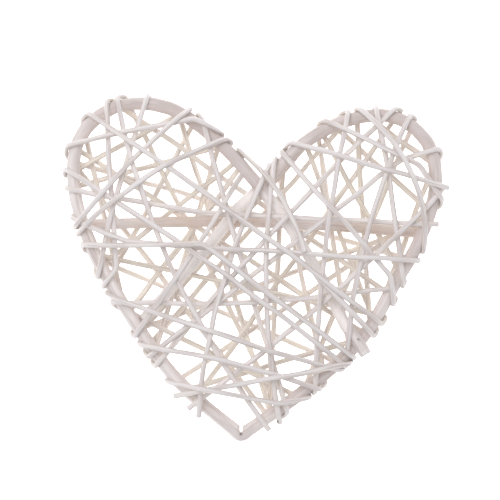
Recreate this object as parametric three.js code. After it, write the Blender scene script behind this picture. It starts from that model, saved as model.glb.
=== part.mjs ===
// Rattan heart decoration, lying on its back: a heart-shaped frame cane, a cross bar behind it,
// and thin strands wound criss-cross round the frame. Millimetres, +Z up, the front faces up.
import * as THREE from "three";

// Driving dimensions
const caneDiameter = 6.8;
const armEndDiameter = 5.4;
const barDiameter = 5.6;
const strandDiameter = 2.4;
const gap = 0.35;
const armLiftOver = 4.3;
const armDipUnder = 3.1;
const crossingReach = 46;
const wrapHalfHeight = 1.4;
const caneSides = 8;
const strandSides = 6;
const restFlat = 0.25;
const restDepth = 23.6;

// Path of the frame cane, in two halves that meet at the kinked tip.
// The first half starts at the lower left end of one arm and runs round the right lobe.
const tip = [-7.8, -86.3];
const rightHalf = [
  [-62.1, -30.7], [-22.1, 14.6], [-8.1, 32.2], [3.4, 42.1], [22.1, 62.9], [46.5, 76.4], [71.5, 78.5],
  [89.2, 64.5], [92.8, 41.6], [82.9, 10.9], [74.1, -3.6], [55.4, -35.4], [24.7, -63.4], tip,
];
// The second half runs up the left side, round the left lobe and down the other arm.
const leftHalf = [
  tip, [-40.3, -58.2], [-65.3, -23.9], [-85, 11.4], [-93.9, 40.6], [-91.8, 66.6], [-74.6, 82.9],
  [-48.6, 84.2], [-25.7, 71], [8.6, 33.8], [33.5, -4.2], [45.6, -28.4], [52.8, -38], [57.4, -45.4],
];
const barPath = [[-85.6, 22.7], [-29, 24.4], [23, 23.1], [70, 19.8], [92.6, 17.6]];

// One arm ends where it meets the opposite side of the rim, and the other lies over the rim.
const armStart = 6;
const armEndLift = 6.6;
const armEndRise = 18;
const armEndLevel = 9;

const smoothPath = (points) => {
  const curve = new THREE.CatmullRomCurve3(
    points.map(([x, y]) => new THREE.Vector3(x, y, 0)), false, "centripetal");
  curve.arcLengthDivisions = 2000;
  return curve;
};
const rightCurve = smoothPath(rightHalf);
const leftCurve = smoothPath(leftHalf);
const rightLength = rightCurve.getLength();
const caneLength = rightLength + leftCurve.getLength();

// A station is a distance along the frame cane from the free end of its first arm.
const firstCrossing = 98;
const secondCrossing = 697;

const swell = (distance) => {
  const share = Math.min(1, Math.abs(distance) / crossingReach);
  return 0.5 + 0.5 * Math.cos(Math.PI * share);
};
const endRise = (station) =>
  THREE.MathUtils.smoothstep(station, caneLength - armEndLevel - armEndRise, caneLength - armEndLevel);
const caneHeight = (station) =>
  armLiftOver * swell(station - secondCrossing)
  - armDipUnder * swell(station - firstCrossing)
  + armEndLift * endRise(station);

const canePoint = (station) => {
  const point = station <= rightLength
    ? rightCurve.getPointAt(station / rightLength)
    : leftCurve.getPointAt(Math.min(1, (station - rightLength) / (caneLength - rightLength)));
  point.z = caneHeight(station);
  return point;
};
const caneTangent = (station) => {
  const tangent = canePoint(station + 0.5).sub(canePoint(station - 0.5)).setZ(0);
  return tangent.normalize();
};
const outward = (station) => {
  const tangent = caneTangent(station);
  return new THREE.Vector3(-tangent.y, tangent.x, 0);
};
const caneRadius = (station) => {
  const fromEnd = Math.min(station, caneLength - station);
  return 0.5 * THREE.MathUtils.lerp(armEndDiameter, caneDiameter, Math.min(1, fromEnd / 120));
};

// The bar lies behind the frame, clear of the lower arm.
const barHeight = -(caneDiameter / 2 + barDiameter / 2 + gap + 0.55 * armDipUnder);
const barCurve = smoothPath(barPath);
const barLength = barCurve.getLength();

// Laid pieces as rows of balls that a strand has to clear.
const strandReach = strandDiameter + gap;
const laid = [];
for (let station = armStart; station <= caneLength; station += 1) {
  const reach = caneRadius(station) + strandDiameter / 2 + gap;
  laid.push({ centre: canePoint(station), reach });
}
for (let distance = 0; distance <= barLength; distance += 1) {
  const centre = barCurve.getPointAt(distance / barLength).setZ(barHeight);
  laid.push({ centre, reach: barDiameter / 2 + strandDiameter / 2 + gap });
}

// Ways a pass of strand can end, each at a station of the frame cane
const reachAt = (station) => caneRadius(station) + strandDiameter / 2 + gap;
const wrap = (station) => ({ station, out: reachAt(station), height: wrapHalfHeight, turns: true });
const cut = (station, beyond) => ({ station, out: reachAt(station) + beyond, height: reachAt(station) - 0.3 });
const lay = (station) => ({ station, out: -0.8, height: reachAt(station) });
const butt = (station) => ({ station, out: -reachAt(station) - 0.2, height: -0.5 });
const endOf = (end) => (typeof end === "number" ? wrap(end) : end);

// One pass of strand across the heart. A later layer lies over the earlier ones.
// A bow is how far, in x and y, the middle of the pass stands off the straight line.
// Where a strand runs along under the cane at one end, it leaves or reaches it at another station.
// A rest is the stretch of a back pass, as shares of its length, that lies on the ground.
const pass = (side, from, to, layer, shape = {}) =>
  ({ side: side === "front" ? 1 : -1, from: endOf(from), to: endOf(to), layer, ...shape });

const windings = {
  winding_strand_1: [
    pass("back", lay(488), 586, 14),
    pass("front", 590, 302, 27, { bow: [1, 1.5] }),
    pass("back", 297.5, 519.5, 4, { reaches: 515.5 }),
    pass("front", 522.5, 323.2, 24, { via: [-27, 12.5] }),
    pass("back", 323.2, lay(323.2), 1),
  ],
  winding_strand_2: [
    pass("back", lay(532), 532, 1),
    pass("front", 532, 641, 22, { bow: [-1.5, 2] }),
    pass("back", 641, 558, 2),
    pass("front", 561.5, 329.2, 21, { bow: [1.5, 3] }),
    pass("back", 329.2, 506.5, 27, { reaches: 512.5, rest: [0.28, 0.72] }),
    pass("front", 504, 620, 7, { bow: [-1.5, 0] }),
    pass("back", 620, lay(620), 1),
  ],
  winding_strand_3: [
    pass("front", cut(424, 3), 225.5, 10, { bow: [2.5, -3] }),
    pass("back", 225.5, lay(225.5), 1),
  ],
  winding_strand_4: [
    pass("front", cut(243, 3), 551.5, 2, { via: [-26, 28.5] }),
    pass("back", 551.5, 668, 23),
    pass("front", 665, 528.5, 32, { bow: [-2, 5] }),
    pass("back", 528.5, lay(528.5), 1),
  ],
  winding_strand_5: [
    pass("front", cut(380, 1), 605, 11, { bow: [-10.5, -3] }),
    pass("back", 608.5, 371, 20),
    pass("front", 367.5, 647, 3, { bow: [-1, 0] }),
    pass("back", 645.5, lay(501), 21),
  ],
  winding_strand_6: [
    pass("front", lay(283), 490.5, 4, { bow: [0, -4] }),
    pass("back", 488, 675, 5, { leaves: 481, reaches: 680 }),
    pass("front", 672, lay(735), 30, { bow: [4, 3] }),
  ],
  winding_strand_7: [
    pass("back", lay(377), 569, 24),
    pass("front", 572.5, 661, 20, { via: [-32, 77.5] }),
    pass("back", 661, 452.5, 9),
    pass("front", 450, 179, 5, { bow: [-2, 2] }),
    pass("back", 182, lay(424), 11),
  ],
  winding_strand_8: [
    pass("front", lay(752), 309, 26),
    pass("back", 306, lay(130), 13),
  ],
  winding_strand_9: [
    pass("front", butt(684), 468.5, 13, { bow: [1, -1] }),
    pass("back", 471.5, lay(246), 25),
  ],
  winding_strand_10: [pass("front", cut(416, 3), 110, 14, { bow: [-7, 0] })],
  winding_strand_11: [
    pass("back", lay(565), 264, 28, { rest: [0.25, 0.72] }),
    pass("front", 263.5, 537.5, 17, { via: [-66, 13.5] }),
    pass("back", 537.5, lay(537.5), 1),
  ],
  winding_strand_12: [
    pass("back", lay(153), 459.5, 17),
    pass("front", 456, 207, 8, { via: [75, 56.5] }),
    pass("back", 209.5, 160.5, 6, { leaves: 214 }),
    pass("front", 162, 259, 28, { bow: [10, 3] }),
    pass("back", 259, lay(259), 1),
  ],
  winding_strand_13: [pass("back", lay(469), lay(134), 10)],
  winding_strand_14: [pass("back", lay(480), lay(359), 3)],
  winding_strand_15: [
    pass("front", cut(434, 3), 326.2, 29),
    pass("back", 326.2, 141.5, 19, { reaches: 138.5 }),
    pass("front", 144, 232, 18, { via: [84, 53.5] }),
    pass("back", 234.5, 154.5, 15, { leaves: 238, reaches: 147.5 }),
    pass("front", 157, 350.5, 12, { bow: [-4, 0] }),
    pass("back", 350.5, lay(350.5), 1),
  ],
  winding_strand_16: [
    pass("back", lay(464.5), 464.5, 1),
    pass("front", 464.5, 346.5, 23, { bow: [0.5, 2.5] }),
    pass("back", 343, 114, 19.5),
    pass("front", 114, cut(374, 2), 15, { bow: [-6, 0] }),
  ],
  winding_strand_17: [
    pass("back", lay(499), 499, 1),
    pass("front", 499, 600, 6, { via: [-72, 0] }),
    pass("back", 602, 287, 8),
    pass("front", 291, 118, 16, { via: [69.5, -3.5] }),
    pass("back", 118, lay(118), 1),
  ],
  winding_strand_18: [
    pass("back", lay(332), 332, 1),
    pass("front", 332, 495, 25, { bow: [0, -1.5] }),
    pass("back", 495, lay(495), 1),
  ],
  winding_strand_19: [
    pass("back", lay(170), 170, 1),
    pass("front", 170, 280, 9, { bow: [1, 0] }),
    pass("back", 277, lay(140), 6.5),
  ],
  winding_strand_20: [
    pass("front", lay(324.5), 186, 10.5, { bow: [-6, 0] }),
    pass("back", 189, lay(353), 16),
  ],
  winding_strand_21: [pass("back", lay(240), lay(437), 26)],
  winding_strand_22: [pass("back", lay(430), lay(315), 9.5)],
  winding_strand_23: [pass("back", lay(572), lay(311), 7)],
  winding_strand_24: [pass("back", lay(160), lay(305), 10.2)],
  winding_strand_25: [
    pass("back", lay(376), 121, 18),
    pass("front", 124.5, cut(226, 3), 19),
  ],
  winding_strand_26: [pass("back", lay(215), lay(294), 22)],
  winding_strand_27: [pass("back", lay(676), lay(509), 5.5)],
  winding_strand_28: [pass("back", lay(637), lay(375), 12)],
  winding_strand_29: [
    pass("back", lay(353.5), 353.5, 1),
    pass("front", 353.5, 441, 31, { via: [12.5, -69.5] }),
    pass("back", 441, lay(441), 1),
  ],
};

// The strand's way across the heart seen from above, as points about a millimetre apart
const sampleStep = 1;
function planOf(strandPass) {
  const place = ({ station, out }) =>
    canePoint(station).addScaledVector(outward(station), out).setZ(0);
  const from = place(strandPass.from);
  const to = place(strandPass.to);
  const corners = [from];
  if (strandPass.leaves) corners.push(place({ station: strandPass.leaves, out: 0 }));
  if (strandPass.via) corners.push(new THREE.Vector3(...strandPass.via, 0));
  if (strandPass.bow) {
    const bow = new THREE.Vector3(...strandPass.bow, 0);
    for (let step = 1; step < 10; step += 1) {
      const share = step / 10;
      corners.push(from.clone().lerp(to, share).addScaledVector(bow, 4 * share * (1 - share)));
    }
  }
  if (strandPass.reaches) corners.push(place({ station: strandPass.reaches, out: 0 }));
  corners.push(to);
  const plan = [];
  for (let i = 0; i + 1 < corners.length; i += 1) {
    const steps = Math.max(1, Math.round(corners[i].distanceTo(corners[i + 1]) / sampleStep));
    for (let step = 0; step < steps; step += 1) {
      plan.push({ point: corners[i].clone().lerp(corners[i + 1], step / steps), corner: step === 0 });
    }
  }
  plan.push({ point: to.clone(), corner: true });
  return plan;
}

// How far out from the frame's plane a strand has to pass at one place
function clearance(point, side) {
  let height = -Infinity;
  for (const { centre, reach } of laid) {
    const dx = centre.x - point.x;
    const dy = centre.y - point.y;
    const inside = reach * reach - dx * dx - dy * dy;
    if (inside > 0) height = Math.max(height, side * centre.z + Math.sqrt(inside));
  }
  return height;
}

// The strand is pulled tight over what it crosses: the upper hull of the heights it has to clear
function tighten(strandPass) {
  const plan = planOf(strandPass);
  const ends = [strandPass.from, strandPass.to];
  let along = 0;
  const posts = plan.map(({ point, corner }, i) => {
    if (i > 0) along += point.distanceTo(plan[i - 1].point);
    return { point, corner, along, height: clearance(point, strandPass.side) };
  });
  const endHeight = (end, post) => (end.turns ? end.height : Math.max(end.height, post.height));
  if (strandPass.rest) {
    const [start, stop] = strandPass.rest.map((share) => share * along);
    const resting = posts.filter((post) => post.along >= start && post.along <= stop);
    for (const post of resting) post.height = Math.max(post.height, restDepth);
  }
  posts[0].height = endHeight(ends[0], posts[0]);
  posts.at(-1).height = endHeight(ends[1], posts.at(-1));
  const hull = [];
  const under = (a, b, c) =>
    (b.height - a.height) * (c.along - a.along) <= (c.height - a.height) * (b.along - a.along);
  for (const post of posts) {
    if (post.height === -Infinity) continue;
    while (hull.length > 1 && under(hull.at(-2), hull.at(-1), post)) hull.pop();
    hull.push(post);
  }
  let next = 1;
  return posts.map((post) => {
    while (hull[next].along < post.along) next += 1;
    const [a, b] = [hull[next - 1], hull[next]];
    const share = (post.along - a.along) / (b.along - a.along);
    const height = THREE.MathUtils.lerp(a.height, b.height, share);
    return post.point.clone().setZ(strandPass.side * height);
  });
}

// Leaves out the points of a line that lie within a small distance of the rest
function thin(points, tolerance) {
  if (points.length < 3) return points;
  const line = new THREE.Line3(points[0], points.at(-1));
  const nearest = new THREE.Vector3();
  let worst = 0;
  let split = 0;
  points.slice(1, -1).forEach((point, i) => {
    const distance = line.closestPointToPoint(point, true, nearest).distanceTo(point);
    if (distance > worst) {
      worst = distance;
      split = i + 1;
    }
  });
  if (worst <= tolerance) return [points[0], points.at(-1)];
  const before = thin(points.slice(0, split + 1), tolerance);
  return [...before.slice(0, -1), ...thin(points.slice(split), tolerance)];
}

// A closed tube through rings: each ring has a centre, a radius and a direction across the tube
function tube(rings, sides) {
  const positions = [];
  const index = [];
  rings.forEach(({ centre, across, radius }, i) => {
    const before = rings[Math.max(0, i - 1)];
    const after = rings[Math.min(rings.length - 1, i + 1)];
    const arriving = (i > 0 ? centre.clone().sub(before.centre) : after.centre.clone().sub(centre)).normalize();
    const leaving = (after === rings[i] ? arriving.clone() : after.centre.clone().sub(centre)).normalize();
    const along = arriving.clone().add(leaving).normalize();
    const bend = leaving.clone().sub(arriving);
    const stretch = Math.min(1.5, 1 / Math.max(0.5, along.dot(leaving))) - 1;
    if (bend.lengthSq() > 1e-12) bend.normalize();
    const first = across.clone().addScaledVector(along, -across.dot(along)).normalize();
    const second = along.clone().cross(first);
    for (let k = 0; k < sides; k += 1) {
      const angle = (2 * Math.PI * (k + 0.5)) / sides - Math.PI / 2;
      const arm = first.clone().multiplyScalar(Math.cos(angle)).addScaledVector(second, Math.sin(angle));
      arm.addScaledVector(bend, stretch * arm.dot(bend));
      positions.push(...centre.clone().addScaledVector(arm, radius).toArray());
    }
    if (i === 0) return;
    const [lower, upper] = [(i - 1) * sides, i * sides];
    for (let k = 0; k < sides; k += 1) {
      const n = (k + 1) % sides;
      index.push(lower + k, lower + n, upper + n, lower + k, upper + n, upper + k);
    }
  });
  const last = (rings.length - 1) * sides;
  for (let k = 1; k + 1 < sides; k += 1) {
    index.push(0, k + 1, k);
    index.push(last, last + k, last + k + 1);
  }
  const geometry = new THREE.BufferGeometry();
  geometry.setAttribute("position", new THREE.Float32BufferAttribute(positions, 3));
  geometry.setIndex(index);
  return geometry;
}

const up = new THREE.Vector3(0, 0, 1);

// Frame cane: rings close together round the lobes, one mitred ring at the tip
function frameRings() {
  const stations = [];
  const spread = (start, end, count) => {
    for (let i = 0; i < count; i += 1) stations.push(THREE.MathUtils.lerp(start, end, i / (count - 1)));
  };
  spread(armStart, rightLength - 5, 42);
  stations.push(rightLength);
  spread(rightLength + 5, caneLength, 42);
  return stations.map((station) => ({
    centre: canePoint(station),
    across: outward(station).negate(),
    radius: caneRadius(station),
  }));
}

function barRings() {
  const count = 9;
  return Array.from({ length: count }, (_, i) => {
    const share = i / (count - 1);
    const tangent = barCurve.getTangentAt(share);
    return {
      centre: barCurve.getPointAt(share).setZ(barHeight),
      across: tangent.cross(up),
      radius: barDiameter / 2,
    };
  });
}

// Winds every pass in its layer order, front and back, and keeps what has been laid
const allPasses = Object.values(windings).flat().sort((a, b) => a.layer - b.layer);
for (const strandPass of allPasses) {
  strandPass.points = tighten(strandPass);
  for (const point of strandPass.points) laid.push({ centre: point, reach: strandReach });
}

function strandRings(passes) {
  const rings = [];
  for (const { points, side, from, to } of passes) {
    const kept = thin(points, 0.16);
    kept.forEach((centre, i) => {
      const ahead = kept[Math.min(kept.length - 1, i + 1)].clone().sub(kept[Math.max(0, i - 1)]).setZ(0);
      const across = ahead.cross(up).multiplyScalar(side).normalize();
      const end = i === 0 ? from : i === kept.length - 1 ? to : null;
      if (end && end.turns) {
        const tangent = caneTangent(end.station);
        across.copy(tangent.multiplyScalar(Math.sign(tangent.dot(across)) || 1));
      }
      rings.push({ centre, across, radius: strandDiameter / 2 });
    });
  }
  return rings;
}

const rattan = (colour) => new THREE.MeshStandardMaterial({ color: colour, roughness: 0.75, metalness: 0 });
const meshes = [];
const addPiece = (name, geometry, colour) => {
  const mesh = new THREE.Mesh(geometry, rattan(colour));
  mesh.name = name;
  meshes.push(mesh);
};
addPiece("frame_cane", tube(frameRings(), caneSides), "#8d7f78");
addPiece("cross_bar", tube(barRings(), caneSides), "#8a6242");
for (const [name, passes] of Object.entries(windings)) {
  addPiece(name, tube(strandRings(passes), strandSides), "#9a8c84");
}

// Set down with the lowest strands pressed a little flat where they rest
const box = new THREE.Box3();
for (const mesh of meshes) {
  mesh.geometry.computeBoundingBox();
  box.union(mesh.geometry.boundingBox);
}
const middle = box.getCenter(new THREE.Vector3());
const part = new THREE.Group();
for (const mesh of meshes) {
  mesh.geometry.translate(-middle.x, -middle.y, -box.min.z - restFlat);
  const positions = mesh.geometry.attributes.position;
  for (let i = 0; i < positions.count; i += 1) {
    if (positions.getZ(i) < 0) positions.setZ(i, 0);
  }
  part.add(mesh);
}

export default part;
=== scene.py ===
import math

import bpy
import numpy as np
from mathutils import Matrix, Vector


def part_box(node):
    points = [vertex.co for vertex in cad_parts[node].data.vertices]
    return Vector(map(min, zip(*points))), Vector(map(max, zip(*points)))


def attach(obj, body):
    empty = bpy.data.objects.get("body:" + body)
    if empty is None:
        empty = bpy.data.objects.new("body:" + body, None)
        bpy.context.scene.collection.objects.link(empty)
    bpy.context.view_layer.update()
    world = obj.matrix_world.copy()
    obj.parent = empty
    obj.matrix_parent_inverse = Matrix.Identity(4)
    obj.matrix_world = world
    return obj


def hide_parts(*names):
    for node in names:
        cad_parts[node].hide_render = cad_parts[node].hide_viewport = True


bl_info = {
    "name": "Rattan heart decoration",
    "version": (1, 0, 0),
    "blender": (4, 5, 0),
    "location": "3D View > Sidebar > Rattan heart",
    "description": "Whitewashed rattan heart: bent frame cane, cross bar and winding strands",
    "category": "Object",
}

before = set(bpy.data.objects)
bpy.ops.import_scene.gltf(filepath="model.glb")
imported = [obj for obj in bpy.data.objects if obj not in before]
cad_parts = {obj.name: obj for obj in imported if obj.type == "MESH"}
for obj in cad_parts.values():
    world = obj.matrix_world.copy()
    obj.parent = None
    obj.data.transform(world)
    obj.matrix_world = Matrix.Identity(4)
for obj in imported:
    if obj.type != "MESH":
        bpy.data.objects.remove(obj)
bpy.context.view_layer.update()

MILLIMETRE = 0.001

# Least size that is divided by
TINY = 1e-12

# Sides of the rings that the CAD tubes are made of
CANE_SIDES = 8
STRAND_SIDES = 6
STRAND_NAMES = sorted(
    (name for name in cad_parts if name.startswith("winding_strand_")),
    key=lambda name: int(name.rsplit("_", 1)[1]),
)

# The strand whose end is hooked over an arm of the cane
HOOKED_STRAND = "winding_strand_9"

# Places of the two dark pin heads, in x and y
STRAND_PIN = (0.0107, -0.0794)
ARM_PIN = (0.0524, -0.0373)

# Cane: how far the swell of the arm's end reaches, the size of the painted shade in the fold,
# and how far it lies from the deepest point of the notch, as a share of the cane's radius
SWELL_REACH = 20.0 * MILLIMETRE
CREASE_SHADE_RADIUS = 0.7 * MILLIMETRE
CREASE_GAP = 0.25

# Wash on the cane, where 0 is bare and 1 is covered: on the rim, more on top and on the outer
# side, and how far it varies along the cane
RIM_WASH = 0.26
TOP_WASH = 0.2
OUTER_WASH = 0.08
WASH_CHANGE = 0.12

# Wash that the rim lacks where it faces up and right in the picture, and wash on the arm's end
UPPER_LACK = 0.5
RIGHT_LACK = 0.17
ARM_END_WASH = 0.38

# Cut ends: length of the rounded lip and size of its ring, as shares of the tube's own size
LIP_LENGTH = 0.12
LIP_RING = 0.86

# Fibres: strength and height of their bumps
FIBRE_BUMP = 0.5
FIBRE_HEIGHT = 0.2 * MILLIMETRE

# Colour of the pin heads, of the painted shade in the fold of the tip and of the painted shade on
# the strands' sides
MARK_COLOUR = (0.035, 0.025, 0.025)

# Stage: half the floor's width, its place just under the heart, and the lamp's place and width
FLOOR_HALF = 3.0
FLOOR_LEVEL = -0.1 * MILLIMETRE
LAMP_PLACE = (-0.35, 0.45, 1.5)
LAMP_WIDTH = 1.4

# About how far the middle of the frame cane is above the top of the cross bar
CANE_OVER_BAR = 6.0 * MILLIMETRE


# Sizes and colours that a user would change


class CaneSettings(bpy.types.PropertyGroup):
    """Sizes of the frame cane and the cross bar"""

    groove_depth: bpy.props.FloatProperty(
        name="Groove depth",
        description="Depth of the long grooves in the cane's bark",
        default=0.0002,
        unit="LENGTH",
    )
    unevenness: bpy.props.FloatProperty(
        name="Unevenness",
        description="Share by which the cane's thickness wanders along its length",
        default=0.035,
        subtype="FACTOR",
    )
    pin_size: bpy.props.FloatProperty(
        name="Pin size",
        description="Radius of the two dark pin heads, in the arm's end and in a strand's end",
        default=0.0006,
        unit="LENGTH",
    )
    arm_reach: bpy.props.FloatProperty(
        name="Arm reach",
        description="Distance beyond the rim's middle line at which the arm over it is cut off",
        default=0.0072,
        unit="LENGTH",
    )
    arm_swell: bpy.props.FloatProperty(
        name="Arm swell",
        description="Share by which the end of that arm is thicker",
        default=0.2,
        subtype="FACTOR",
    )
    bar_reach: bpy.props.FloatProperty(
        name="Bar reach",
        description="Distance beyond the rim's middle line at which the cross bar is cut off",
        default=0.003,
        unit="LENGTH",
    )
    tip_notch: bpy.props.FloatProperty(
        name="Tip notch",
        description="Share of the cane's inner half that is pinched away at the fold of the tip",
        default=1.24,
        subtype="FACTOR",
    )
    notch_reach: bpy.props.FloatProperty(
        name="Notch reach",
        description="Distance from the fold of the tip over which the cane is pinched",
        default=0.0036,
        unit="LENGTH",
    )


class StrandSettings(bpy.types.PropertyGroup):
    """Sizes of the winding strands"""

    fullness: bpy.props.FloatProperty(
        name="Fullness",
        description="Thickness of the strands as a share of the CAD strands",
        default=1.14,
        subtype="FACTOR",
    )
    flatness: bpy.props.FloatProperty(
        name="Flatness",
        description="Share by which a strand is wider than it is deep",
        default=0.1,
        subtype="FACTOR",
    )
    bend_reach: bpy.props.FloatProperty(
        name="Bend reach",
        description="Length over which a bend of the strand is spread",
        default=0.0016,
        unit="LENGTH",
    )
    hug: bpy.props.FloatProperty(
        name="Hug",
        description="Share by which a strand is drawn in to the cane where it goes round it",
        default=0.1,
        subtype="FACTOR",
    )
    stub_reach: bpy.props.FloatProperty(
        name="Stub reach",
        description="Distance beyond the rim's middle line at which the strands' ends are cut off",
        default=0.0067,
        unit="LENGTH",
    )
    hook_length: bpy.props.FloatProperty(
        name="Hook length",
        description="Length by which one strand's end is hooked over the arm of the cane",
        default=0.0085,
        unit="LENGTH",
    )
    hook_rise: bpy.props.FloatProperty(
        name="Hook rise",
        description="Height by which that end rises over the arm",
        default=0.0052,
        unit="LENGTH",
    )
    sway: bpy.props.FloatProperty(
        name="Sway",
        description="How far a strand wanders sideways between its turns",
        default=0.00025,
        unit="LENGTH",
    )


class FinishSettings(bpy.types.PropertyGroup):
    """Colours of the rattan and its wash of white paint"""

    wash: bpy.props.FloatVectorProperty(
        name="White wash",
        description="Colour of the thin white paint on the outer sides",
        default=(0.82, 0.772, 0.778),
        size=3,
        subtype="COLOR",
        min=0.0,
        max=1.0,
    )
    # Partly painted light: the full coat of this colour on the arms lifts the shade that the
    # strands above cast on them
    cane_wash_and_arm_light: bpy.props.FloatVectorProperty(
        name="Cane wash",
        description="Colour of the thicker paint on the frame cane, most of it on its two arms",
        default=(0.895, 0.855, 0.855),
        size=3,
        subtype="COLOR",
        min=0.0,
        max=1.0,
    )
    raw: bpy.props.FloatVectorProperty(
        name="Raw rattan",
        description="Colour of the rattan where little paint has reached",
        default=(0.835, 0.777, 0.695),
        size=3,
        subtype="COLOR",
        min=0.0,
        max=1.0,
    )
    bare_cane: bpy.props.FloatVectorProperty(
        name="Bare cane",
        description="Colour of the frame cane where little paint has reached",
        default=(0.655, 0.58, 0.57),
        size=3,
        subtype="COLOR",
        min=0.0,
        max=1.0,
    )
    streak: bpy.props.FloatVectorProperty(
        name="Grain streak",
        description="Colour of the darker fibres that show through the paint",
        default=(0.56, 0.48, 0.455),
        size=3,
        subtype="COLOR",
        min=0.0,
        max=1.0,
    )
    # Painted shade: the strands' sides are made darker than their faces
    edge_shade: bpy.props.FloatProperty(
        name="Edge shade",
        description="Share by which the shaded sides of the strands are darker than their faces",
        default=0.08,
        subtype="FACTOR",
    )
    bark: bpy.props.FloatVectorProperty(
        name="Bar rattan",
        description="Colour of the barely painted cross bar",
        default=(0.66, 0.54, 0.465),
        size=3,
        subtype="COLOR",
        min=0.0,
        max=1.0,
    )


class StageSettings(bpy.types.PropertyGroup):
    """Floor, light and camera"""

    floor: bpy.props.FloatVectorProperty(
        name="Floor",
        description="Colour of the pale floor",
        default=(0.9, 0.9, 0.9),
        size=3,
        subtype="COLOR",
        min=0.0,
        max=1.0,
    )
    floor_glow: bpy.props.FloatProperty(
        name="Floor glow",
        description="Brightness of the floor as a lit table",
        default=1.12,
    )
    lamp_power: bpy.props.FloatProperty(
        name="Lamp power",
        description="Power of the large soft lamp above the floor, in watts",
        default=14.0,
    )
    sky: bpy.props.FloatProperty(
        name="Room light",
        description="Brightness of the even light from the room",
        default=0.475,
    )
    camera_distance: bpy.props.FloatProperty(
        name="Camera distance",
        description="Height of the camera above the frame cane",
        default=2.2,
        unit="LENGTH",
    )
    view_width: bpy.props.FloatProperty(
        name="View width",
        description="Width of the square picture at the height of the frame cane",
        default=0.2585,
        unit="LENGTH",
    )
    view_centre: bpy.props.FloatVectorProperty(
        name="View centre",
        description="Point of the heart that is in the middle of the picture",
        default=(-0.0035, 0.009),
        size=2,
        unit="LENGTH",
    )


# Centrelines


def ring_centres(node, sides):
    """Ring centres and mean radii of a tube-shaped CAD node, in order from one end.

    Corners at the same place are merged. The flat end is a fan of sides - 2 triangles with
    one normal round one corner. From that end, each step along the edges reaches one more ring.
    """
    merge_scale = 1e6
    normal_scale = 200.0
    mesh = node.data
    mesh.calc_loop_triangles()
    corners = np.empty(len(mesh.vertices) * 3)
    mesh.vertices.foreach_get("co", corners)
    triangles = np.empty(len(mesh.loop_triangles) * 3, int)
    mesh.loop_triangles.foreach_get("vertices", triangles)
    corners = corners.reshape(-1, 3)
    keys = np.round(corners * merge_scale).astype(np.int64)
    _, first, same = np.unique(keys, axis=0, return_index=True, return_inverse=True)
    places = corners[first]
    triangles = same.reshape(-1)[triangles].reshape(-1, 3)

    edge_a = places[triangles[:, 1]] - places[triangles[:, 0]]
    edge_b = places[triangles[:, 2]] - places[triangles[:, 0]]
    normals = np.cross(edge_a, edge_b)
    normals /= np.maximum(np.linalg.norm(normals, axis=1, keepdims=True), TINY)
    facing = np.round(normals * normal_scale).astype(int)
    rows = np.column_stack([triangles.reshape(-1), np.repeat(facing, 3, axis=0)])
    _, group_of, sizes = np.unique(rows, axis=0, return_inverse=True, return_counts=True)
    fan = np.argmax(sizes)
    if sizes[fan] != sides - 2:
        raise RuntimeError(f"{node.name} has no flat end of {sides} sides")
    end = np.unique(triangles[np.flatnonzero(group_of.reshape(-1) == fan) // 3])

    links = np.vstack([triangles[:, [0, 1]], triangles[:, [1, 2]], triangles[:, [2, 0]]])
    links = np.vstack([links, links[:, ::-1]])
    seen = np.zeros(len(places), bool)
    centres = []
    radii = []
    ring = end
    while len(ring):
        if len(ring) != sides:
            raise RuntimeError(f"{node.name} is not a tube of {sides} sides")
        seen[ring] = True
        centre = places[ring].mean(axis=0)
        centres.append(centre)
        radii.append(np.linalg.norm(places[ring] - centre, axis=1).mean())
        reached = np.zeros(len(places), bool)
        reached[ring] = True
        ring = np.unique(links[reached[links[:, 0]] & ~seen[links[:, 1]], 1])
    return np.array(centres), np.array(radii)


def lengths_along(points):
    """Distance of each point from the first, along the line."""
    return np.r_[0.0, np.cumsum(np.linalg.norm(np.diff(points, axis=0), axis=1))]


def even_line(points, step, values=None):
    """The line through the points cut into equal steps, with values carried along."""
    fewest_steps = 8
    along = lengths_along(points)
    count = max(fewest_steps, int(round(along[-1] / step))) + 1
    places = np.linspace(0.0, along[-1], count)
    line = np.column_stack([np.interp(places, along, points[:, axis]) for axis in range(3)])
    if values is None:
        return line
    return line, np.interp(places, along, values)


def soften(rows, reach, step):
    """Rows averaged along the line with bell-shaped weights.

    Past both ends the rows go on mirrored through the end, so the ends stay in place.
    """
    bell_end = 3.0 * reach
    half = min(int(math.ceil(bell_end / step)), len(rows) - 2)
    offsets = np.arange(-half, half + 1) * step
    weights = np.exp(-0.5 * (offsets / reach) ** 2)
    weights /= weights.sum()
    before = 2.0 * rows[0] - rows[half:0:-1]
    after = 2.0 * rows[-1] - rows[-2 : -half - 2 : -1]
    padded = np.vstack([before, rows, after])
    return np.column_stack([np.convolve(column, weights, "valid") for column in padded.T])


def unit(rows):
    """Each row scaled to length one."""
    return rows / np.maximum(np.linalg.norm(rows, axis=1, keepdims=True), TINY)


def wander(count, step, wavelength, seed):
    """A smooth random line between about -1 and 1 that turns once or so per wavelength.

    Five sine waves of random length and start are added up.
    """
    wave_count = 5
    shortest = 0.6
    longest = 1.9
    usual_peak = 2.6
    random = np.random.default_rng(seed)
    along = np.arange(count) * step
    waves = wavelength * random.uniform(shortest, longest, wave_count)
    starts = random.uniform(0.0, 2.0 * math.pi, wave_count)
    angles = 2.0 * math.pi * along[:, None] / waves + starts
    return np.sin(angles).sum(axis=1) / usual_peak


def ring_angles(columns):
    """Angles of equally spaced places round a ring."""
    return 2.0 * math.pi * np.arange(columns) / columns


def flat_distances(points, line):
    """Distance of each point from each place on a line, seen from above."""
    return np.linalg.norm(points[:, None, :2] - line[None, :, :2], axis=2)


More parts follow.
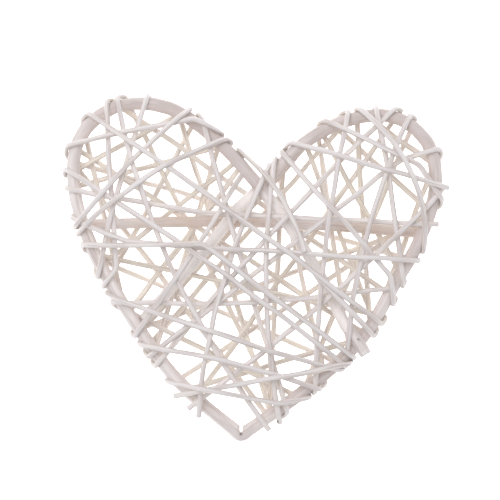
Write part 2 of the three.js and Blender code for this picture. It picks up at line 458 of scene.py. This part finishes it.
def heart_rim():
    """Closed loop of the frame cane from the crossing of its arms round to the crossing again."""
    step = 1.5 * MILLIMETRE
    centres, _ = ring_centres(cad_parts["frame_cane"], CANE_SIDES)
    line = even_line(centres, step)
    count = len(line)
    first = np.arange(count // 3)
    last = np.arange(2 * count // 3, count)
    gaps = flat_distances(line[first], line[last])
    near, far = np.unravel_index(np.argmin(gaps), gaps.shape)
    return line[first[near] : last[far] + 1]


def inside_rim(points, rim):
    """Which points lie inside the rim, seen from above.

    From a point inside, a line to the right crosses the rim an odd number of times.
    """
    ahead = np.roll(rim, -1, axis=0)
    x = points[:, None, 0]
    y = points[:, None, 1]
    spans = (rim[:, 1] > y) != (ahead[:, 1] > y)
    rise = np.where(ahead[:, 1] == rim[:, 1], TINY, ahead[:, 1] - rim[:, 1])
    cross_x = rim[:, 0] + (y - rim[:, 1]) * (ahead[:, 0] - rim[:, 0]) / rise
    return np.count_nonzero(spans & (x < cross_x), axis=1) % 2 == 1


def beyond_rim(points, rim):
    """Distance of each point from the rim's middle line seen from above, or 0 inside the rim."""
    distance = flat_distances(points, rim).min(axis=1)
    return np.where(inside_rim(points, rim), 0.0, distance)


def outer_side(points, rim):
    """Direction from the flat heart inside the rim towards each point, of length one.

    Over or under the heart it is straight up or down. Beyond the rim it points away from the
    nearest place on the rim.
    """
    level = rim[:, 2].mean()
    inside = inside_rim(points, rim)
    nearest = rim[np.argmin(flat_distances(points, rim), axis=1)]
    below = np.column_stack([points[:, :2], np.full(len(points), level)])
    foot = np.where(inside[:, None], below, nearest)
    return unit(points - foot)


def hooked_end(line, length, rise):
    """The line with its first end carried on straight ahead and up.

    It rises as a quarter of a sine wave over the first part of the length, and then runs level.
    """
    lead = 8
    steepness = 1.6
    step = np.linalg.norm(line[1] - line[0])
    count = int(round(length / step))
    share = np.arange(count, 0, -1) / count
    ahead = unit((line[0] - line[lead])[None])[0]
    ahead[2] = 0.0
    more = line[0] + ahead * (length * share)[:, None]
    more[:, 2] += rise * np.sin(0.5 * math.pi * np.minimum(share * steepness, 1.0))
    return np.vstack([more, line])


def hug(line, rim, share):
    """The line drawn in towards the rim where it goes round the outside of the cane.

    The way from the rim's middle to a point is shortened by the share, times a weight that
    grows from 0 over the cane to 1 beside it and fades out again further away. The weights
    are returned too.
    """
    farthest = 8.0 * MILLIMETRE
    fade = 2.0 * MILLIMETRE
    offset = line - rim[np.argmin(flat_distances(line, rim), axis=1)]
    outside = beyond_rim(line, rim)
    reach = np.hypot(outside, offset[:, 2])
    beside = np.clip(outside / np.maximum(reach, TINY), 0.0, 1.0)
    near = np.clip((farthest - reach) / fade, 0.0, 1.0)
    weight = beside**2 * near
    return line - offset * (share * weight)[:, None], weight


# Meshes


def tube_mesh(name, grid, poles, attributes):
    """Mesh of a closed tube from a grid of rings and two end points.

    The grid has one row per ring and one column per place round the ring. Neighbouring rows
    are joined by quads, and each end by a fan of triangles to its end point.
    """
    rows, columns = grid.shape[:2]
    ring = np.arange(columns)
    follow = np.roll(ring, -1)
    start = (np.arange(rows - 1) * columns)[:, None]
    quads = np.stack(
        [start + ring, start + follow, start + columns + follow, start + columns + ring], axis=2
    ).reshape(-1, 4)
    first_pole = rows * columns
    last_row = (rows - 1) * columns
    first_fan = np.column_stack([np.full(columns, first_pole), follow, ring])
    last_pole = np.full(columns, first_pole + 1)
    last_fan = np.column_stack([last_pole, last_row + ring, last_row + follow])
    fans = np.vstack([first_fan, last_fan])
    places = np.vstack([grid.reshape(-1, 3), poles])
    corners = np.r_[quads.reshape(-1), fans.reshape(-1)]
    starts = np.r_[np.arange(len(quads)) * 4, len(quads) * 4 + np.arange(len(fans)) * 3]

    mesh = bpy.data.meshes.new(name)
    mesh.vertices.add(len(places))
    mesh.vertices.foreach_set("co", places.astype(np.float32).reshape(-1))
    mesh.loops.add(len(corners))
    mesh.loops.foreach_set("vertex_index", corners.astype(np.int32))
    mesh.polygons.add(len(starts))
    mesh.polygons.foreach_set("loop_start", starts.astype(np.int32))
    mesh.update(calc_edges=True)
    mesh.polygons.foreach_set("use_smooth", np.ones(len(starts), bool))
    for key, values in attributes.items():
        kind = "FLOAT_VECTOR" if values.ndim == 2 else "FLOAT"
        field = "vector" if values.ndim == 2 else "value"
        layer = mesh.attributes.new(key, kind, "POINT")
        layer.data.foreach_set(field, values.astype(np.float32).reshape(-1))
    mesh.validate()
    return mesh


def place_piece(mesh, material, node):
    """Puts the mesh in the scene as the piece that stands for a CAD node."""
    mesh.materials.append(material)
    piece = bpy.data.objects.new(mesh.name, mesh)
    bpy.context.scene.collection.objects.link(piece)
    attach(piece, "root")
    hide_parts(node)


def directions(line, outer, step):
    """Tangent, sideways and outer directions along a line, each of length one.

    The outer direction is taken square to the tangent and softened along the line. Sideways
    is square to both.
    """
    twist_reach = 1.2 * MILLIMETRE
    tangent = unit(np.gradient(line, axis=0))
    upward = outer - tangent * np.sum(outer * tangent, axis=1, keepdims=True)
    upward = unit(soften(unit(upward), twist_reach, step))
    upward = unit(upward - tangent * np.sum(upward * tangent, axis=1, keepdims=True))
    sideways = np.cross(tangent, upward)
    return tangent, sideways, upward


def sweep(name, line, outer, step, wide, tall, round_share, paint, edge, marks, seed):
    """A tube carried along a line, with rounded cut ends and attributes for its finish.

    At each place round the line, at angle a, the surface lies wide * cos(a) sideways and
    tall * sin(a) outwards, times a share that may change with the angle and the distance.
    The sides are painted darker by the share called edge, as painted shade. Each mark is a place
    in x and y and a radius: a round dark spot that fades at its rim.
    """
    tangent, sideways, upward = directions(line, outer, step)
    angles = ring_angles(round_share.shape[1])
    cos_a = np.cos(angles)
    sin_a = np.sin(angles)
    across = wide[:, None] * cos_a * round_share
    out = tall[:, None] * sin_a * round_share
    grid = line[:, None] + across[..., None] * sideways[:, None] + out[..., None] * upward[:, None]

    # Each cut end gets one smaller ring a little further on, so its edge is not razor sharp
    lip = LIP_LENGTH * float(np.mean(tall))
    first = line[0] + (grid[0] - line[0]) * LIP_RING - tangent[0] * lip
    last = line[-1] + (grid[-1] - line[-1]) * LIP_RING + tangent[-1] * lip
    poles = np.vstack([line[0] - tangent[0] * lip, line[-1] + tangent[-1] * lip])
    grid = np.concatenate([first[None], grid, last[None]])

    # What rests on the ground is pressed flat there
    grid[..., 2] = np.maximum(grid[..., 2], 0.0)

    # The grain runs along the tube and starts at a random place, so no two tubes look the same
    farthest_start = 3.0
    along = lengths_along(line)
    along = np.r_[along[0] - lip, along, along[-1] + lip]
    random = np.random.default_rng(seed)
    start = random.uniform(0.0, farthest_start)
    size = float(np.mean(wide))
    grain = np.empty(grid.shape)
    grain[..., 0] = size * cos_a
    grain[..., 1] = size * sin_a
    grain[..., 2] = along[:, None] + start
    ends = np.zeros(grid.shape[:2])
    ends[[0, -1]] = 1.0
    painted = np.concatenate([paint[:1], paint, paint[-1:]])
    grain_poles = np.array([[0.0, 0.0, along[0] + start], [0.0, 0.0, along[-1] + start]])
    places = np.vstack([grid.reshape(-1, 3), poles])
    # Painted shade along the sides of each strand, strongest where they face sideways
    sides = np.tile(edge * cos_a**4, len(grid))
    dark = np.r_[sides, 0.0, 0.0]
    for x, y, radius in marks:
        away = np.hypot(places[:, 0] - x, places[:, 1] - y)
        dark = np.maximum(dark, np.exp(-((away / radius) ** 4)))
    attributes = {
        "dark": dark,
        "grain": np.vstack([grain.reshape(-1, 3), grain_poles]),
        "paint": np.r_[painted.reshape(-1), painted[0].mean(), painted[-1].mean()],
        "cut_end": np.r_[ends.reshape(-1), 1.0, 1.0],
    }
    return tube_mesh(name, grid, poles, attributes)


def bark_share(rows, columns, step, grooves, depth, width, seed):
    """Radius of a grooved section as a share of the plain radius, for each ring and angle.

    Each groove is a bell-shaped dip at an angle that wanders slowly along the length. Its
    depth changes along the length too.
    """
    spread = 0.35
    turn = 0.55
    turn_length = 0.22
    usual_strength = 0.6
    strength_length = 0.09
    turn_seed = 31
    strength_seed = 37
    angles = ring_angles(columns)
    share = np.ones((rows, columns))
    random = np.random.default_rng(seed)
    starts = np.arange(grooves) + random.uniform(-spread, spread, grooves)
    starts = starts * 2.0 * math.pi / grooves
    for number, start in enumerate(starts):
        middle = start + turn * wander(rows, step, turn_length, seed * turn_seed + number)
        change = wander(rows, step, strength_length, seed * strength_seed + number)
        strength = usual_strength + usual_strength * change
        strength = np.clip(strength, 0.0, 2.0 * usual_strength)
        offset = np.angle(np.exp(1j * (angles[None, :] - middle[:, None])))
        share -= depth * strength[:, None] * np.exp(-((offset / width) ** 2))
    return share


def cane_paint(line, rim, facing, angles, outward, from_end, step):
    """Wash on the frame cane for each ring and angle.

    The wash of the rim is more on top and on the outer side, and varies along the cane. Where
    the rim faces up in the picture it has less, and less or more where it faces right or left.
    The arms inside the heart have a full coat on top of it, and the arm's end has a part of one.
    On the arms this coat is partly painted light, in place of the shade that the strands above
    cast.
    """
    coat_start = 2.0 * MILLIMETRE
    coat_fade = 6.0 * MILLIMETRE
    end_length = 25.0 * MILLIMETRE
    change_length = 0.06
    away = flat_distances(line, rim).min(axis=1)
    # Painted light: the arms get a full, light coat in place of the shade that the strands above
    # them cast
    arms = np.clip((away - coat_start) / coat_fade, 0.0, 1.0)
    arm_end = np.clip((end_length - from_end) / coat_fade, 0.0, 1.0)
    arms = np.maximum(arms, ARM_END_WASH * arm_end)
    bare = UPPER_LACK * np.clip(facing[:, 1], 0.0, 1.0) + RIGHT_LACK * facing[:, 0]
    change = WASH_CHANGE * wander(len(line), step, change_length, seed=17)
    along_paint = arms - bare * (1.0 - arms) + change
    round_paint = RIM_WASH + TOP_WASH * np.sin(angles)[None, :] + OUTER_WASH * outward
    return round_paint + along_paint[:, None]


# Materials


def new_node(tree, kind, place, **values):
    """A node of one kind at a place in the tree, with its settings."""
    node = tree.nodes.new(kind)
    node.location = place
    for key, value in values.items():
        setattr(node, key, value)
    return node


def rattan_group():
    """Node group that paints rattan: fibres along the strand under a thin, uneven white wash.

    Paint is how much of the wash has reached the surface. Noise that is drawn out along the
    grain breaks the wash up and shows darker fibres. Height gives the same fibres as bumps.
    """
    tree = bpy.data.node_groups.new("washed_rattan", "ShaderNodeTree")
    sockets = tree.interface
    for label, kind in (
        ("Grain", "NodeSocketVector"),
        ("Paint", "NodeSocketFloat"),
        ("Cut End", "NodeSocketFloat"),
        ("Dark", "NodeSocketFloat"),
        ("Wash", "NodeSocketColor"),
        ("Raw", "NodeSocketColor"),
        ("Streak", "NodeSocketColor"),
        ("Fibre Scale", "NodeSocketFloat"),
        ("Streak Amount", "NodeSocketFloat"),
    ):
        sockets.new_socket(label, in_out="INPUT", socket_type=kind)
    for label, kind in (
        ("Color", "NodeSocketColor"),
        ("Roughness", "NodeSocketFloat"),
        ("Height", "NodeSocketFloat"),
    ):
        sockets.new_socket(label, in_out="OUTPUT", socket_type=kind)
    link = tree.links.new
    source = new_node(tree, "NodeGroupInput", (-1400, 0))
    result = new_node(tree, "NodeGroupOutput", (900, 0))

    # Fibres: noise drawn out twenty times along the grain
    stretch = new_node(tree, "ShaderNodeVectorMath", (-1150, 200), operation="MULTIPLY")
    stretch.inputs[1].default_value = (1.0, 1.0, 0.05)
    link(source.outputs["Grain"], stretch.inputs[0])
    fibres = new_node(tree, "ShaderNodeTexNoise", (-900, 250))
    fibres.inputs["Detail"].default_value = 4.0
    fibres.inputs["Roughness"].default_value = 0.62
    link(stretch.outputs[0], fibres.inputs["Vector"])
    link(source.outputs["Fibre Scale"], fibres.inputs["Scale"])

    # Patches where the wash is thinner, about a centimetre long
    patch_stretch = new_node(tree, "ShaderNodeVectorMath", (-1150, -100), operation="MULTIPLY")
    patch_stretch.inputs[1].default_value = (1.0, 1.0, 0.3)
    link(source.outputs["Grain"], patch_stretch.inputs[0])
    patches = new_node(tree, "ShaderNodeTexNoise", (-900, -100))
    patches.inputs["Scale"].default_value = 260.0
    patches.inputs["Detail"].default_value = 2.0
    link(patch_stretch.outputs[0], patches.inputs["Vector"])

    # Wash mask: paint plus patches, kept off the cut ends
    patch_range = new_node(tree, "ShaderNodeMapRange", (-650, -100))
    patch_range.inputs["From Min"].default_value = 0.3
    patch_range.inputs["From Max"].default_value = 0.7
    patch_range.inputs["To Min"].default_value = -0.22
    patch_range.inputs["To Max"].default_value = 0.22
    link(patches.outputs["Fac"], patch_range.inputs["Value"])
    mask = new_node(tree, "ShaderNodeMath", (-400, -100), operation="ADD", use_clamp=True)
    link(source.outputs["Paint"], mask.inputs[0])
    link(patch_range.outputs["Result"], mask.inputs[1])
    ends = new_node(tree, "ShaderNodeMath", (-200, -150), operation="MULTIPLY_ADD", use_clamp=True)
    ends.inputs[1].default_value = -0.8
    link(source.outputs["Cut End"], ends.inputs[0])
    link(mask.outputs[0], ends.inputs[2])

    base = new_node(tree, "ShaderNodeMix", (50, 100), data_type="RGBA")
    link(ends.outputs[0], base.inputs["Factor"])
    link(source.outputs["Raw"], base.inputs["A"])
    link(source.outputs["Wash"], base.inputs["B"])

    # Dark fibres show where the fibre noise is high
    streak_range = new_node(tree, "ShaderNodeMapRange", (-650, 300))
    streak_range.interpolation_type = "SMOOTHSTEP"
    streak_range.inputs["From Min"].default_value = 0.44
    streak_range.inputs["From Max"].default_value = 0.68
    link(fibres.outputs["Fac"], streak_range.inputs["Value"])
    streak_share = new_node(tree, "ShaderNodeMath", (-400, 300), operation="MULTIPLY")
    link(streak_range.outputs["Result"], streak_share.inputs[0])
    link(source.outputs["Streak Amount"], streak_share.inputs[1])

    # Thick paint, above 1, covers the dark fibres too; on the arms this is painted light, in place
    # of the shade that the strands above them cast
    cover_and_light = new_node(tree, "ShaderNodeMapRange", (-400, 500))
    cover_and_light.inputs["From Min"].default_value = 1.05
    cover_and_light.inputs["From Max"].default_value = 1.35
    cover_and_light.inputs["To Min"].default_value = 1.0
    cover_and_light.inputs["To Max"].default_value = 0.15
    link(source.outputs["Paint"], cover_and_light.inputs["Value"])
    left_over = new_node(tree, "ShaderNodeMath", (-150, 350), operation="MULTIPLY")
    link(streak_share.outputs[0], left_over.inputs[0])
    link(cover_and_light.outputs["Result"], left_over.inputs[1])
    streaked = new_node(tree, "ShaderNodeMix", (300, 150), data_type="RGBA")
    link(left_over.outputs[0], streaked.inputs["Factor"])
    link(base.outputs["Result"], streaked.inputs["A"])
    link(source.outputs["Streak"], streaked.inputs["B"])

    # Pin heads, and painted shade in the fold of the tip and on the strands' sides
    marked = new_node(tree, "ShaderNodeMix", (600, 150), data_type="RGBA")
    marked.inputs["B"].default_value = (*MARK_COLOUR, 1.0)
    link(source.outputs["Dark"], marked.inputs["Factor"])
    link(streaked.outputs["Result"], marked.inputs["A"])
    link(marked.outputs["Result"], result.inputs["Color"])

    # Painted places are smoother than bare fibres
    rough = new_node(tree, "ShaderNodeMapRange", (300, -150))
    rough.inputs["To Min"].default_value = 0.68
    rough.inputs["To Max"].default_value = 0.5
    link(ends.outputs[0], rough.inputs["Value"])
    link(rough.outputs["Result"], result.inputs["Roughness"])
    link(fibres.outputs["Fac"], result.inputs["Height"])
    return tree


def shared_group():
    """The rattan node group, made the first time it is asked for."""
    return bpy.data.node_groups.get("washed_rattan") or rattan_group()


def rattan_material(name, wash, raw, streak, fibre_scale, streak_amount):
    """Rattan finish: the shared group's colour, roughness and bumps on one shader."""
    material = bpy.data.materials.new(name)
    material.use_nodes = True
    tree = material.node_tree
    shader = tree.nodes["Principled BSDF"]
    link = tree.links.new
    grain = new_node(tree, "ShaderNodeAttribute", (-900, 200), attribute_name="grain")
    paint = new_node(tree, "ShaderNodeAttribute", (-900, 0), attribute_name="paint")
    cut_end = new_node(tree, "ShaderNodeAttribute", (-900, -200), attribute_name="cut_end")
    dark = new_node(tree, "ShaderNodeAttribute", (-900, -400), attribute_name="dark")
    rattan = new_node(tree, "ShaderNodeGroup", (-550, 100), node_tree=shared_group())
    link(grain.outputs["Vector"], rattan.inputs["Grain"])
    link(paint.outputs["Fac"], rattan.inputs["Paint"])
    link(cut_end.outputs["Fac"], rattan.inputs["Cut End"])
    link(dark.outputs["Fac"], rattan.inputs["Dark"])
    rattan.inputs["Wash"].default_value = (*wash, 1.0)
    rattan.inputs["Raw"].default_value = (*raw, 1.0)
    rattan.inputs["Streak"].default_value = (*streak, 1.0)
    rattan.inputs["Fibre Scale"].default_value = fibre_scale
    rattan.inputs["Streak Amount"].default_value = streak_amount
    bumps = new_node(tree, "ShaderNodeBump", (-250, -200))
    bumps.inputs["Strength"].default_value = FIBRE_BUMP
    bumps.inputs["Distance"].default_value = FIBRE_HEIGHT
    link(rattan.outputs["Height"], bumps.inputs["Height"])
    link(rattan.outputs["Color"], shader.inputs["Base Color"])
    link(rattan.outputs["Roughness"], shader.inputs["Roughness"])
    link(bumps.outputs["Normal"], shader.inputs["Normal"])
    return material


# Operators


class RATTAN_OT_frame_cane(bpy.types.Operator):
    """Builds the bent frame cane with its grooved bark and folded tip"""

    bl_idname = "rattan_heart.frame_cane"
    bl_label = "Frame cane"

    def execute(self, context):
        sizes = context.scene.rattan_cane
        finish = context.scene.rattan_finish
        step = 0.8 * MILLIMETRE
        columns = 40
        bend_reach = 1.6 * MILLIMETRE
        centres, radii = ring_centres(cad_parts["frame_cane"], CANE_SIDES)
        rim = heart_rim()
        line, radius = even_line(centres, step, radii)
        kept = beyond_rim(line, rim) < sizes.arm_reach
        line = line[kept]
        radius = radius[kept]
        tip = np.argmin(line[:, 1])
        line = soften(line, bend_reach, step)
        rows = len(line)
        from_tip = np.abs(np.arange(rows) - tip) * step
        from_end = (rows - 1 - np.arange(rows)) * step
        upward = np.tile([0.0, 0.0, 1.0], (rows, 1))
        uneven = 1.0 + sizes.unevenness * wander(rows, step, wavelength=0.05, seed=11)
        swell = 1.0 + sizes.arm_swell * np.exp(-((from_end / SWELL_REACH) ** 2))
        thickness = radius * uneven * swell
        depth = sizes.groove_depth / float(radius.mean())
        share = bark_share(rows, columns, step, grooves=9, depth=depth, width=0.11, seed=5)

        # The inner side is pinched to a notch at the fold
        angles = ring_angles(columns)
        _, sideways, _ = directions(line, upward, step)
        heart_middle = np.array([0.0, 0.0, line[tip, 2]])
        inward = np.sign(np.sum(sideways[tip] * (heart_middle - line[tip])))
        inner = np.clip(inward * np.cos(angles), 0.0, 1.0)
        pinch = sizes.tip_notch * np.clip(1.0 - from_tip / sizes.notch_reach, 0.0, 1.0)
        share = share * (1.0 - pinch[:, None] * inner[None, :])
        # Painted shade: a dark spot in the notch of the fold, where shade gathers
        crease_shift = sizes.tip_notch - 1.0 - CREASE_GAP
        crease = line[tip] - inward * sideways[tip] * thickness[tip] * crease_shift
        marks = [(crease[0], crease[1], CREASE_SHADE_RADIUS), (*ARM_PIN, sizes.pin_size)]

        outward = np.cos(angles)[None, :] * -inward
        facing = -inward * sideways
        paint = cane_paint(line, rim, facing, angles, outward, from_end, step)
        mesh = sweep(
            "frame_cane_bark",
            line,
            upward,
            step,
            wide=thickness,
            tall=thickness,
            round_share=share,
            paint=paint,
            edge=0.0,
            marks=marks,
            seed=3,
        )
        material = rattan_material(
            "frame_cane_rattan",
            finish.cane_wash_and_arm_light,
            finish.bare_cane,
            finish.streak,
            fibre_scale=480.0,
            streak_amount=0.8,
        )
        place_piece(mesh, material, "frame_cane")
        return {"FINISHED"}


class RATTAN_OT_cross_bar(bpy.types.Operator):
    """Builds the cross bar behind the frame cane, of barely painted rattan"""

    bl_idname = "rattan_heart.cross_bar"
    bl_label = "Cross bar"

    def execute(self, context):
        sizes = context.scene.rattan_cane
        finish = context.scene.rattan_finish
        step = 1.0 * MILLIMETRE
        columns = 32
        bend_reach = 6.0 * MILLIMETRE
        base_paint = 0.22
        top_paint = 0.2
        paint_change = 0.25
        centres, radii = ring_centres(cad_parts["cross_bar"], CANE_SIDES)
        line, radius = even_line(centres, step, radii)
        kept = beyond_rim(line, heart_rim()) < sizes.bar_reach
        line = soften(line[kept], bend_reach, step)
        radius = radius[kept]
        rows = len(line)
        upward = np.tile([0.0, 0.0, 1.0], (rows, 1))
        uneven = 1.0 + sizes.unevenness * wander(rows, step, wavelength=0.05, seed=23)
        thickness = radius * uneven
        depth = sizes.groove_depth / float(radius.mean())
        share = bark_share(rows, columns, step, grooves=7, depth=depth, width=0.12, seed=29)
        change = paint_change * wander(rows, step, wavelength=0.07, seed=31)
        paint = base_paint + top_paint * np.sin(ring_angles(columns))[None, :] + change[:, None]
        mesh = sweep(
            "cross_bar_bark",
            line,
            upward,
            step,
            wide=thickness,
            tall=thickness,
            round_share=share,
            paint=paint,
            edge=0.0,
            marks=(),
            seed=7,
        )
        material = rattan_material(
            "cross_bar_rattan",
            finish.wash,
            finish.bark,
            finish.streak,
            fibre_scale=480.0,
            streak_amount=0.65,
        )
        place_piece(mesh, material, "cross_bar")
        return {"FINISHED"}


class RATTAN_OT_winding_strands(bpy.types.Operator):
    """Builds the thin strands wound criss-cross round the frame cane"""

    bl_idname = "rattan_heart.winding_strands"
    bl_label = "Winding strands"

    def execute(self, context):
        sizes = context.scene.rattan_strands
        finish = context.scene.rattan_finish
        step = 0.7 * MILLIMETRE
        columns = 20
        unevenness = 0.04
        usual_flat = 0.6
        press = 0.2
        base_paint = 0.55
        outer_paint = 0.5
        paint_change = 0.18
        first_seed = 101
        seed_step = 7
        rim = heart_rim()
        material = rattan_material(
            "strand_rattan",
            finish.wash,
            finish.raw,
            finish.streak,
            fibre_scale=850.0,
            streak_amount=0.7,
        )
        round_paint = base_paint + outer_paint * np.sin(ring_angles(columns))[None, :]
        marks = [(*STRAND_PIN, context.scene.rattan_cane.pin_size)]
        for number, name in enumerate(STRAND_NAMES):
            seed = first_seed + seed_step * number
            centres, radii = ring_centres(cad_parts[name], STRAND_SIDES)
            line, radius = even_line(centres, step, radii)
            if name == HOOKED_STRAND:
                line = hooked_end(line, sizes.hook_length, sizes.hook_rise)
                radius = np.full(len(line), radius.mean())
            kept = beyond_rim(line, rim) < sizes.stub_reach
            line, beside = hug(line[kept], rim, sizes.hug)
            radius = radius[kept]
            line = soften(line, sizes.bend_reach, step)
            rows = len(line)
            outer = outer_side(line, rim)
            _, sideways, _ = directions(line, outer, step)
            sway = sizes.sway * wander(rows, step, wavelength=0.045, seed=seed)
            line = line + sideways * sway[:, None]

            # Strands are wider than deep, and are pressed flatter where they go round the cane
            uneven = 1.0 + unevenness * wander(rows, step, wavelength=0.03, seed=seed + 1)
            thickness = sizes.fullness * radius * uneven
            flat_change = usual_flat * wander(rows, step, wavelength=0.06, seed=seed + 2)
            flat = sizes.flatness * (usual_flat + flat_change)
            wide = thickness * (1.0 + 0.5 * flat)
            tall = thickness * (1.0 - 0.5 * flat) * (1.0 - press * beside)
            share = bark_share(
                rows, columns, step, grooves=4, depth=0.16, width=0.26, seed=seed + 3
            )
            change = paint_change * wander(rows, step, wavelength=0.08, seed=seed + 4)
            mesh = sweep(
                f"{name}_reed",
                line,
                outer,
                step,
                wide=wide,
                tall=tall,
                round_share=share,
                paint=round_paint + change[:, None],
                edge=finish.edge_shade,
                marks=marks,
                seed=seed + 5,
            )
            place_piece(mesh, material, name)
        return {"FINISHED"}


class RATTAN_OT_stage(bpy.types.Operator):
    """Sets up the pale floor, the soft light and the camera straight above"""

    bl_idname = "rattan_heart.stage"
    bl_label = "Stage"

    def execute(self, context):
        stage = context.scene.rattan_stage
        mesh = bpy.data.meshes.new("pale_floor")
        corners = [
            (-FLOOR_HALF, -FLOOR_HALF, FLOOR_LEVEL),
            (FLOOR_HALF, -FLOOR_HALF, FLOOR_LEVEL),
            (FLOOR_HALF, FLOOR_HALF, FLOOR_LEVEL),
            (-FLOOR_HALF, FLOOR_HALF, FLOOR_LEVEL),
        ]
        mesh.from_pydata(corners, [], [(0, 1, 2, 3)])
        material = bpy.data.materials.new("pale_floor")
        material.use_nodes = True
        shader = material.node_tree.nodes["Principled BSDF"]
        shader.inputs["Base Color"].default_value = (*stage.floor, 1.0)
        shader.inputs["Roughness"].default_value = 0.9
        shader.inputs["Emission Color"].default_value = (1.0, 1.0, 1.0, 1.0)
        shader.inputs["Emission Strength"].default_value = stage.floor_glow
        mesh.materials.append(material)
        floor = bpy.data.objects.new("pale_floor", mesh)
        context.scene.collection.objects.link(floor)

        world = bpy.data.worlds.new("studio")
        world.use_nodes = True
        background = world.node_tree.nodes["Background"]
        background.inputs["Color"].default_value = (1.0, 1.0, 1.0, 1.0)
        background.inputs["Strength"].default_value = stage.sky
        context.scene.world = world

        lamp = bpy.data.lights.new("soft_lamp", "AREA")
        lamp.shape = "DISK"
        lamp.size = LAMP_WIDTH
        lamp.energy = stage.lamp_power
        soft = bpy.data.objects.new("soft_lamp", lamp)
        soft.location = LAMP_PLACE
        to_heart = -Vector(LAMP_PLACE)
        soft.rotation_euler = to_heart.to_track_quat("-Z", "Y").to_euler()
        context.scene.collection.objects.link(soft)

        eye = bpy.data.cameras.new("camera")
        eye.sensor_width = 36.0
        eye.lens = eye.sensor_width * stage.camera_distance / stage.view_width
        eye.clip_start = 0.05
        eye.clip_end = 20.0
        camera = bpy.data.objects.new("camera", eye)
        _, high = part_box("cross_bar")
        cane_height = high.z + CANE_OVER_BAR
        camera.location = (*stage.view_centre, cane_height + stage.camera_distance)
        context.scene.collection.objects.link(camera)
        context.scene.camera = camera
        context.scene.view_settings.view_transform = "Standard"
        return {"FINISHED"}


class RATTAN_PT_panel(bpy.types.Panel):
    """Lists the sizes, colours and pieces of the heart"""

    bl_idname = "RATTAN_PT_panel"
    bl_label = "Rattan heart"
    bl_space_type = "VIEW_3D"
    bl_region_type = "UI"
    bl_category = "Rattan heart"

    def draw(self, context):
        for key in SETTINGS:
            group = getattr(context.scene, key)
            for prop in group.__annotations__:
                self.layout.prop(group, prop)
        for operator in OPERATORS:
            self.layout.operator(operator.bl_idname)


SETTINGS = {
    "rattan_cane": CaneSettings,
    "rattan_strands": StrandSettings,
    "rattan_finish": FinishSettings,
    "rattan_stage": StageSettings,
}
OPERATORS = (
    RATTAN_OT_frame_cane,
    RATTAN_OT_cross_bar,
    RATTAN_OT_winding_strands,
    RATTAN_OT_stage,
)


def register():
    """Makes the settings, operators and panel known to Blender."""
    for key, group in SETTINGS.items():
        bpy.utils.register_class(group)
        setattr(bpy.types.Scene, key, bpy.props.PointerProperty(type=group))
    for item in (*OPERATORS, RATTAN_PT_panel):
        bpy.utils.register_class(item)


def unregister():
    """Takes the panel, operators and settings out again."""
    for item in (RATTAN_PT_panel, *reversed(OPERATORS)):
        bpy.utils.unregister_class(item)
    for key, group in reversed(SETTINGS.items()):
        delattr(bpy.types.Scene, key)
        bpy.utils.unregister_class(group)


def main():
    """Builds every piece and the stage."""
    register()
    bpy.ops.rattan_heart.frame_cane()
    bpy.ops.rattan_heart.cross_bar()
    bpy.ops.rattan_heart.winding_strands()
    bpy.ops.rattan_heart.stage()


if __name__ == "__main__":
    main()
